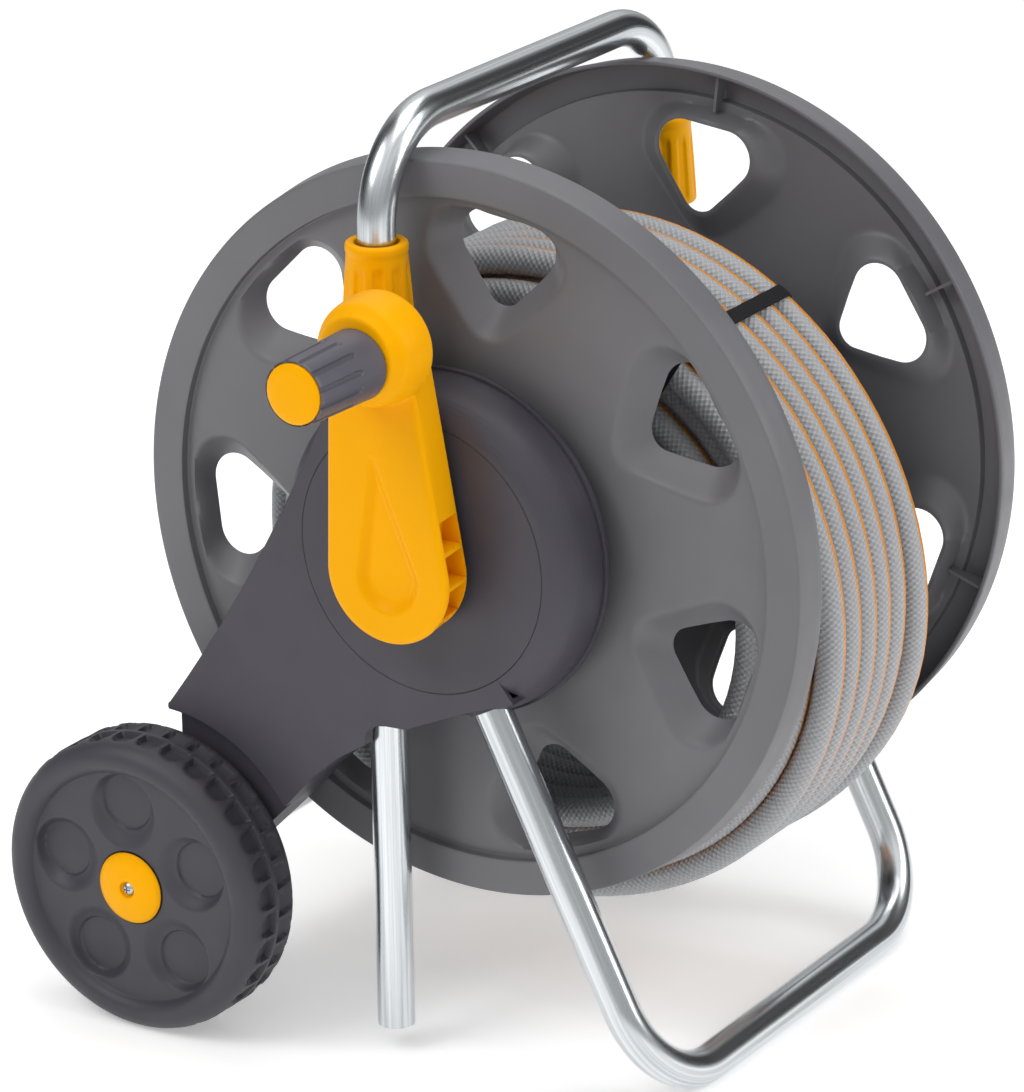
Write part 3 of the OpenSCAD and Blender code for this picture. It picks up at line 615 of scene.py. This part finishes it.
def make_flange(name, far, replaced):
    cols = 630
    web_r = np.concatenate([[12.2, 40, 75, 98], np.linspace(108, 194.6, 50)])
    # (radius, depth) from the web out over the ring, round the drum-side edge, and back inside the rim
    rim = [(195.5, 5.5), (195.9, 5.2), (196, 4.7), (196, 0.8), (196.2, 0.3), (196.8, 0), (198, 0), (206, 0),
           (215, 0), (216.4, 0.15), (216.9, 0.6), (217.1, 1.2), (217.9, 8), (218.9, 16), (219.4, 20),
           (219.2, 20.7), (218.6, 21), (217.6, 21), (217.0, 20.7), (216.7, 20), (215.6, 10), (214.6, 3.6),
           (214.2, 2.9), (213.4, 2.6), (206, 2.6), (199.6, 2.6), (198.8, 2.9), (198.6, 3.5), (198.6, 7.4),
           (198.3, 8.0), (197.6, 8.1)]
    a = np.arange(cols) * PI2 / cols
    x = web_r[:, None] * np.cos(a)
    z = web_r[:, None] * np.sin(a)
    pitch = PI2 / WINDOWS
    first = math.radians(FIRST_WINDOW)
    k = np.round((a - first) / pitch)
    turn = first + k * pitch
    lx = x * np.cos(turn) + z * np.sin(turn)
    lz = -x * np.sin(turn) + z * np.cos(turn)
    p = np.stack([lx, lz], -1).reshape(-1, 2)
    d, way = outside(p, OPENING)
    hole = (d < 0).reshape(x.shape)
    p = np.where((d < 0)[:, None], p - d[:, None] * way, p)
    d = np.maximum(d, 0)
    ds, _ = outside(p, SURROUND)
    p = p.reshape(*x.shape, 2)
    wall = np.where(ds < 0, 1 - d / np.maximum(d - ds, 1e-6), 0)
    front = WEB_OUT + (DEPTH - 0.7 - WEB_OUT) * eased(wall)
    db, dsb = np.maximum(d - 2.6, 0), ds - 2.6
    back_wall = np.where(dsb < 0, 1 - db / np.maximum(db - dsb, 1e-6), 0)
    back = WEB_IN + (DEPTH - WEB_IN) * eased(back_wall)
    front, back = front.reshape(x.shape), back.reshape(x.shape)
    x = p[..., 0] * np.cos(turn) - p[..., 1] * np.sin(turn)
    z = p[..., 0] * np.sin(turn) + p[..., 1] * np.cos(turn)
    rim = np.array(rim)
    rx, rz = rim[:, :1] * np.cos(a), rim[:, :1] * np.sin(a)
    ry = np.repeat(rim[:, 1:], cols, 1)
    pts = np.concatenate([np.stack([x, front, z], -1), np.stack([rx, ry, rz], -1),
                          np.stack([x, back, z], -1)[::-1]])
    rows, nw = len(pts), len(web_r)
    quads = grid_faces(rows, cols, True, True).reshape(rows, cols, 4)
    nxt = np.roll(hole, -1, 1)
    gone = hole[:-1] & hole[1:] & nxt[:-1] & nxt[1:]
    keep = np.ones((rows, cols), bool)
    keep[:nw - 1][gone] = False
    keep[rows - nw:rows - 1] = keep[:nw - 1][::-1]
    faces = list(map(tuple, quads[keep]))
    # walls between the front and the back round each opening
    index = np.arange(rows * cols).reshape(rows, cols)
    g = np.zeros((nw + 1, cols), bool)
    g[1:nw] = gone
    for i in range(nw):
        for j in np.nonzero(g[i] ^ g[i + 1])[0]:
            j1 = (j + 1) % cols
            faces.append((index[i, j], index[i, j1], index[rows - 1 - i, j1], index[rows - 1 - i, j]))
    side = gone ^ np.roll(gone, 1, 1)
    for i, j in zip(*np.nonzero(side)):
        faces.append((index[i, j], index[i + 1, j], index[rows - 2 - i, j], index[rows - 1 - i, j]))
    verts = [pts.reshape(-1, 3)]
    base = rows * cols
    rib = np.array([(193, 7.2), (215.4, 2.4), (217.2, 14), (193, 14)])
    for i in range(WINDOWS):
        v = np.array([(r, y, s) for s in (-0.9, 0.9) for r, y in rib])
        verts.append(about_y(v, FIRST_WINDOW + i * 360 / WINDOWS))
        faces += [tuple(base + np.array(f)) for f in
                  ((0, 1, 2, 3), (7, 6, 5, 4), (0, 4, 5, 1), (1, 5, 6, 2), (2, 6, 7, 3), (3, 7, 4, 0))]
        base += 8
    obj = new_object(name, place(np.concatenate(verts), far), faces, M_GREY, "reel", [replaced], angle=40)
    bm = bmesh.new()
    bm.from_mesh(obj.data)
    loose = [v for v in bm.verts if not v.link_faces]
    bmesh.ops.delete(bm, geom=loose, context="VERTS")
    bm.to_mesh(obj.data)
    bm.free()


make_flange("reel_flange_near", False, "near_flange")
make_flange("reel_flange_far", True, "far_flange")

# ---- wheels ----
AXLE_X, AXLE_Z = -182.9, -226.4
WHEEL_GAP = 42
AXLE_END = 82.8
LUGS = 32
FACE_ROWS = 70


def wheel_height(x, z):
    """How far the wheel's dished face sinks: five round bowls, each falling to an off-centre disc."""
    sink = np.zeros_like(x)
    for i in range(5):
        t = math.radians(22.5 + 72 * i)
        u, w = x * math.cos(t) + z * math.sin(t), -x * math.sin(t) + z * math.cos(t)
        inside = 23.6 - np.hypot(u - 47.0, w)
        disc = np.hypot(u - 51.6, w) - 17.2
        fall = np.clip(inside, 0, None) / np.maximum(np.clip(inside, 0, None) + np.clip(disc, 0, None), 1e-6)
        slope = np.where(inside > 0, 4.6 * (0.4 * fall + 0.6 * smooth(fall)), 0)
        sink = np.maximum(sink, slope + np.where(inside > 0, 1.7 * smooth(-disc / 1.0 + 0.2), 0))
    return sink


def make_wheel(name, far, body, replaced):
    cols = LUGS * 14
    a = np.arange(cols) * PI2 / cols
    face_r = np.linspace(23.4, 70.4, FACE_ROWS)
    rows = [(11.1, -40.2), (22.3, -40.2), (22.5, -40.3), (22.5, -41.0), (22.8, -41.3)]
    rows += [(r, -41.3) for r in face_r]
    rows += [(70.7, -41.4), (71.1, -41.9), (71.9, -43.2), (73.1, -44.7), (74.5, -45.8), (76, -46.5),
             (77.6, -46.7)]
    rows += [(78 + 12 * math.sin(b), -34 - 12.7 * math.cos(b)) for b in np.linspace(0, math.pi / 2, 11)[1:-1]]
    tread_y = np.linspace(-34, -7.5, 60)
    tread = len(rows)
    rows += [(90, y) for y in tread_y]
    rows += [(82 + 8 * math.cos(b), -8 + 8 * math.sin(b)) for b in np.linspace(0, math.pi / 2, 7)[1:]]
    rows += [(84, 0), (83.8, -0.6), (83.8, -33.2), (83.2, -33.7), (17, -33.7), (16, -33), (16, -0.5),
             (15.5, 0), (11.3, 0), (11.1, -0.4)]
    rows = np.array(rows)
    r = np.repeat(rows[:, :1], cols, 1)
    y = np.repeat(rows[:, 1:], cols, 1)
    n = len(rows)
    # half-oval dimples on both sides of a middle rib, one row half a pitch from the other
    pitch = PI2 / LUGS
    for y0, to, shift in ((-21.9, -38.5, 0.0), (-19.3, -3.5, 0.5)):
        length = abs(to - y0)
        along = (y - y0) / (to - y0) * length
        s = ((a / pitch + shift) % 1 - 0.5) * pitch * 90
        half = 7.5 * np.clip(1 - (along / length) ** 3, 0, 1) ** 0.45
        gap = np.minimum(half - np.abs(s)[None, :], along)
        deep = 3.8 * (1 - (np.clip(along, 0, length) / length) ** 2.2)
        cut = np.where((along > 0) & (along < length), deep * smooth(gap / 1.3), 0)
        cut[:tread - 7] = 0
        r = r - np.where(np.arange(n)[:, None] < tread + 64, cut, 0)
    x, z = r * np.cos(a), r * np.sin(a)
    f0 = 5
    y[f0:f0 + FACE_ROWS] += wheel_height(x[f0:f0 + FACE_ROWS], z[f0:f0 + FACE_ROWS])
    pts = np.stack([AXLE_X + x, y - WHEEL_GAP, AXLE_Z + z], -1).reshape(-1, 3)
    faces = list(map(tuple, grid_faces(n, cols, True, True)))
    verts = [pts]
    base = len(pts)
    for i in range(10):
        v, f = box_mesh(15.2, 84.5, -34.2, -2.5, -1.2, 1.2)
        v = about_y(v, i * 36) + np.array([AXLE_X, -WHEEL_GAP, AXLE_Z])
        verts.append(v)
        faces += [tuple(base + np.array(q)) for q in f]
        base += 8
    new_object(name, place(np.concatenate(verts), far), faces, M_WHEEL, body, [replaced], angle=42)


make_wheel("wheel_near", False, "near_wheel_body", "near_wheel")
make_wheel("wheel_far", True, "far_wheel_body", "far_wheel")

CAP = [(0, 0.2), (20.5, 0.2), (21.6, -0.5), (21.9, -1.3), (21.4, -2.2), (19.5, -3.2), (15, -4.4), (9, -5.1),
       (6.4, -5.3), (5.6, -5.2), (5.1, -4.8), (5, -4.2), (5, -3.1), (0, -3.1)]
for side, far in (("near", False), ("far", True)):
    turned(f"wheel_cap_{side}", [(r, y - AXLE_END) for r, y in CAP], M_YELLOW, "frame", ["wheel_caps"],
           (AXLE_X, AXLE_Z), far)


# ---- crank ----
def hull_outline(circles, count=160):
    """Points of the outline round some circles (x, z, radius), evenly turned."""
    c = np.array(circles, float)
    a = np.arange(count) * PI2 / count
    u = np.stack([np.cos(a), np.sin(a)], -1)
    best = (u @ c[:, :2].T + c[:, 2]).argmax(1)
    return c[best, :2] + c[best, 2:3] * u


def loft(rows):
    """Closed solid through outlines of (x, y, z) points that match one to one."""
    n, m = rows.shape[:2]
    faces = list(map(tuple, grid_faces(n, m, False, True)))
    faces += [tuple(range(m)), tuple((n - 1) * m + np.arange(m))]
    return rows.reshape(-1, 3), faces


def temp_mesh(name, verts, faces):
    mesh = bpy.data.meshes.new(name)
    mesh.from_pydata([tuple(v) for v in verts], [], [tuple(f) for f in faces])
    obj = bpy.data.objects.new(name, mesh)
    bpy.context.collection.objects.link(obj)
    bm = bmesh.new()
    bm.from_mesh(mesh)
    bmesh.ops.remove_doubles(bm, verts=bm.verts, dist=1e-6)
    bmesh.ops.recalc_face_normals(bm, faces=bm.faces)
    bm.to_mesh(mesh)
    bm.free()
    return obj


def applied(obj):
    """The object's mesh with its modifiers, and the object gone."""
    bpy.context.view_layer.update()
    mesh = bpy.data.meshes.new_from_object(obj.evaluated_get(bpy.context.evaluated_depsgraph_get()))
    old = obj.data
    bpy.data.objects.remove(obj)
    bpy.data.meshes.remove(old)
    return mesh


FACE, BACK, THROW = 77.0, 51.0, 130.0
PIN_R = 6.0


def make_crank():
    end, top = (-1.8, -1.3, 40.0), (-10.3, 118, 27.3)
    edge = 3.4
    levels = [(-BACK, 3.4), (-BACK - 1.0, 2.4)]
    levels += [(-FACE + edge * (1 - math.sin(b)), edge * (1 - math.cos(b)))
               for b in np.linspace(0, math.pi / 2, 8)]
    rows = []
    for y, inset in levels:
        xz = hull_outline([(end[0], end[1], end[2] - inset), (top[0], top[1], top[2] - inset)])
        rows.append(np.stack([xz[:, 0], np.full(len(xz), y), xz[:, 1]], -1))
    verts, faces = loft(np.array(rows))
    boss = [(0, -68), (26, -68), (29.6, -69.4), (31.4, -72.4), (31.6, -76), (31.2, -84), (30.2, -91),
            (29.4, -93.8), (28.2, -95.9), (26.4, -97.8), (25, -99.6), (24.2, -101), (23.4, -102), (0, -102)]
    boss_x, boss_z = -1.6, THROW + 2.4
    a = np.arange(120) * PI2 / 120
    b = np.array(boss)
    ring = np.stack([boss_x + b[:, :1] * np.cos(a), np.repeat(b[:, 1:], 120, 1),
                     boss_z + b[:, :1] * np.sin(a)], -1)
    v2, f2 = loft(ring)
    f2 = [tuple(len(verts) + np.array(f)) for f in f2]
    obj = temp_mesh("crank_work", place(np.concatenate([verts, v2])), faces + f2)
    remesh = obj.modifiers.new("remesh", "REMESH")
    remesh.mode = "VOXEL"
    remesh.voxel_size = 0.9 * MM
    soften = obj.modifiers.new("soften", "SMOOTH")
    soften.factor = 0.5
    soften.iterations = 7
    mesh = applied(obj)
    # a shallow drop-shaped recess in the front face
    co = np.zeros(len(mesh.vertices) * 3)
    mesh.vertices.foreach_get("co", co)
    co = co.reshape(-1, 3)
    x, y, z = (co[:, 0] - AX) / MM, (co[:, 1] - NEAR) / MM, (co[:, 2] - AZ) / MM
    lower, upper = np.array([-1.0, -2.0, 22.0]), np.array([-9.0, 66.0, 3.0])
    span = upper - lower
    f = np.clip(((x - lower[0]) * span[0] + (z - lower[1]) * span[1]) / (span[0] ** 2 + span[1] ** 2), 0, 1)
    gap = np.hypot(x - lower[0] - f * span[0], z - lower[1] - f * span[1]) - (lower[2] + f * span[2])
    sink = 4.8 * smooth(-gap / 8.0) * (1 - 0.4 * f)
    co[:, 1] += np.where(y < -FACE + 3.5, sink, 0) * MM
    mesh.vertices.foreach_set("co", co.ravel())
    work = bpy.data.objects.new("crank_lever", mesh)
    bpy.context.collection.objects.link(work)
    cutters = []
    for i in range(4):
        z0 = 18 - i * 19.5
        v, f = box_mesh(21, 60, -73.2, -53.6, z0, z0 + 17.1)
        cutters.append(temp_mesh("cut", place(v), f))
    a = np.arange(48) * PI2 / 48
    for z0, r, y0, y1 in ((THROW, PIN_R + 0.02, -110, -45), (0, 12.0, -63, -40)):
        ring = np.stack([np.stack([r * np.cos(a), np.full(48, y), z0 + r * np.sin(a)], -1) for y in (y0, y1)])
        v, f = loft(ring)
        cutters.append(temp_mesh("cut", place(v), f))
    for c in cutters:
        m = work.modifiers.new("cut", "BOOLEAN")
        m.operation, m.object, m.solver = "DIFFERENCE", c, "MANIFOLD"
    mesh = applied(work)
    for c in cutters:
        bpy.data.objects.remove(c)
    obj = bpy.data.objects.new("crank_lever", mesh)
    bpy.context.collection.objects.link(obj)
    mesh.materials.clear()
    mesh.materials.append(M_YELLOW)
    for p in mesh.polygons:
        p.use_smooth = True
    mesh.set_sharp_from_angle(angle=math.radians(32))
    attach(obj, "reel")
    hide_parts("crank_arm")


make_crank()


def grip_shape(r, y, a):
    """Long slots from the outer end, with round inner ends."""
    slots = 12
    s = ((a / PI2 * slots) % 1 - 0.5) * PI2 / slots * 19.5
    reach = -124 - y
    half = np.where(reach > 1.6, 1.6, np.sqrt(np.clip(1.6 ** 2 - (1.6 - reach) ** 2, 0, None)))
    cut = 1.3 * smooth((half - np.abs(s)) / 0.7 + 0.3) * (reach > 0) * (r > 18.0)
    return r - cut, y


def grip_profile():
    out = [(PIN_R + 0.06, -159.8), (17.5, -159.8), (17.6, -161.0), (18.0, -161.5), (18.5, -161.3),
           (18.8, -160.6)]
    out += [(18.9 + 1.4 * f, -159.8 + 56.6 * f) for f in np.linspace(0, 1, 60)]
    return out + [(20.0, -102.6), (19.4, -102.3), (PIN_R + 0.06, -102.3)]


GRIP_CAP = [(0, -159.4), (17.1, -159.4), (17.3, -160.6), (17.0, -161.8), (16.0, -162.5), (12, -163),
            (0, -163.4)]
turned("grip_sleeve", grip_profile(), M_GRIP, "grip", ["crank_grip"], (0, THROW), sides=200, shape=grip_shape)
turned("grip_end_cap", GRIP_CAP, M_YELLOW, "reel", ["grip_cap"], (0, THROW))


# ---- twist collars ----
LEG_X, LEG_Y = -36.7, -26      # the handle's near leg


def collar_shape(r, z, a):
    flutes = 10
    s = np.abs(((a / PI2 * flutes) % 1) - 0.5) * 2
    fade = smooth((164 - z) / 7) * smooth((z - 121) / 5)
    return r - np.where(r > 13, 1.5 * smooth((0.7 - s) / 0.4) * fade, 0), z


COLLAR = [(15.95, 120.2), (19.2, 120.1), (20.1, 120.5), (20.5, 121.4)]
COLLAR += [(20.5 - 3.2 * f ** 1.2, 121.4 + 46 * f) for f in np.linspace(0, 1, 34)[1:]]
COLLAR += [(17.5, 168.4), (17.8, 169.4), (17.8, 172), (17.4, 173.4), (16.4, 174.2), (14.4, 174.3),
           (12.9, 173.8), (12.4, 172.4), (12.0, 150), (15.95, 149)]


def make_collar(name, far, body, replaced):
    sides = 160
    a = np.arange(sides) * PI2 / sides
    p = np.array(COLLAR)
    r, z = np.repeat(p[:, :1], sides, 1), np.repeat(p[:, 1:], sides, 1)
    r, z = collar_shape(r, z, a[None, :])
    pts = np.stack([LEG_X + r * np.cos(a), LEG_Y + r * np.sin(a), z], -1)
    new_object(name, place(pts, far).reshape(-1, 3), grid_faces(len(p), sides, True, True), M_YELLOW, body,
               [replaced], angle=45)


make_collar("twist_collar_near", False, "near_lock", "near_collar")
make_collar("twist_collar_far", True, "far_lock", "far_collar")

# ---- finishes of the CAD nodes that stay ----
FINISH = {
    M_CHARCOAL_CAD: ("near_side_plate", "far_side_plate", "near_inner_plate", "far_inner_plate",
                     "near_hub_cover", "far_hub_cover"),
    M_YELLOW_CAD: ("wheel_caps", "inlet_elbow", "near_collar", "far_collar", "outlet_stub", "crank_arm",
                   "grip_pin", "grip_cap", "hose_start_connector", "hose_end_connector"),
    M_GREY_CAD: ("near_flange", "far_flange", "drum"),
    M_DARK: ("axle_plugs", "collets", "handle_end_plugs", "water_shaft"),
    M_SCREW: ("plate_screws", "wheel_screws", "inlet_screws", "drum_screws"),
    M_TUBE: ("handle_tube", "foot_tube", "axle_tube"),
    M_BUSH: ("near_bush", "far_bush"),
    M_SEAL: ("shaft_seal", "outlet_seal"),
    M_WHEEL: ("near_wheel", "far_wheel"),
    M_GRIP: ("crank_grip",),
    M_HOSE: ("hose_bundle",),
    M_WEB: ("hose_straps",),
}
for material, names in FINISH.items():
    for name in names:
        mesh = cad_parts[name].data
        mesh.materials.clear()
        mesh.materials.append(material)


# ---- studio ----
def make_studio():
    floor_z = cad_lo.z
    size = 6.0
    mesh = bpy.data.meshes.new("floor")
    corners = [(x, y, floor_z) for x, y in ((-size, -size), (size, -size), (size, size), (-size, size))]
    mesh.from_pydata(corners, [], [(0, 1, 2, 3)])
    floor = bpy.data.objects.new("floor", mesh)
    bpy.context.collection.objects.link(floor)
    mat, tree, bsdf, links = nodes_of("floor_paper")
    bsdf.inputs["Base Color"].default_value = (0.95, 0.95, 0.95, 1)
    bsdf.inputs["Emission Color"].default_value = (1, 1, 1, 1)
    bsdf.inputs["Emission Strength"].default_value = 0.32
    bsdf.inputs["Roughness"].default_value = 0.9
    bsdf.inputs["Specular IOR Level"].default_value = 0.1
    mesh.materials.append(mat)

    world = bpy.data.worlds.new("studio")
    bpy.context.scene.world = world
    world.use_nodes = True
    tree = world.node_tree
    background = tree.nodes["Background"]
    # a pale studio with two darker sides behind the cart, which show as streaks in the plated tubes
    co = add(tree, "ShaderNodeTexCoord")
    split = add(tree, "ShaderNodeSeparateXYZ")
    tree.links.new(co.outputs["Generated"], split.inputs["Vector"])
    x, y, z = (split.outputs[k] for k in "XYZ")
    bearing = math_node(tree, "ARCTAN2", x, math_node(tree, "MULTIPLY", y, -1.0))
    bearing = math_node(tree, "SUBTRACT", bearing, math.radians(33))
    turn = math_node(tree, "FRACT", math_node(tree, "MULTIPLY_ADD", bearing, 1 / PI2, 1.5))
    levels = ((0.0, 0.9), (0.07, 0.8), (0.12, 0.06), (0.23, 0.1), (0.31, 0.75), (0.5, 1.0), (0.69, 0.7),
              (0.77, 0.08), (0.88, 0.05), (0.93, 0.8), (1.0, 0.9))
    sides = ramp(tree, turn, [(at, grey(v)) for at, v in levels])
    sky = ramp(tree, z, [(0.0, grey(0.45)), (0.3, grey(0.6)), (0.62, grey(1.0))])
    tree.links.new(math_node(tree, "MULTIPLY", sides, sky), background.inputs["Color"])
    background.inputs["Strength"].default_value = 1.0

    def area(name, at, to, w, h, power):
        data = bpy.data.lights.new(name, "AREA")
        data.shape = "RECTANGLE"
        data.size, data.size_y = w, h
        data.energy = power
        obj = bpy.data.objects.new(name, data)
        bpy.context.collection.objects.link(obj)
        obj.location = at
        obj.rotation_mode = "QUATERNION"
        obj.rotation_quaternion = (Vector(to) - Vector(at)).to_track_quat("-Z", "Y")

    area("key", (-1.2, -2.0, 2.6), (0, 0, 0.3), 1.6, 1.6, 34)
    area("rim", (2.4, 0.9, 1.6), (0, 0, 0.3), 0.9, 2.0, 26)
    area("top", (0.2, 0.3, 2.8), (0, 0, 0.3), 2.2, 1.4, 22)
    view = bpy.context.scene.view_settings
    view.view_transform = "Standard"
    view.look = "None"


make_studio()
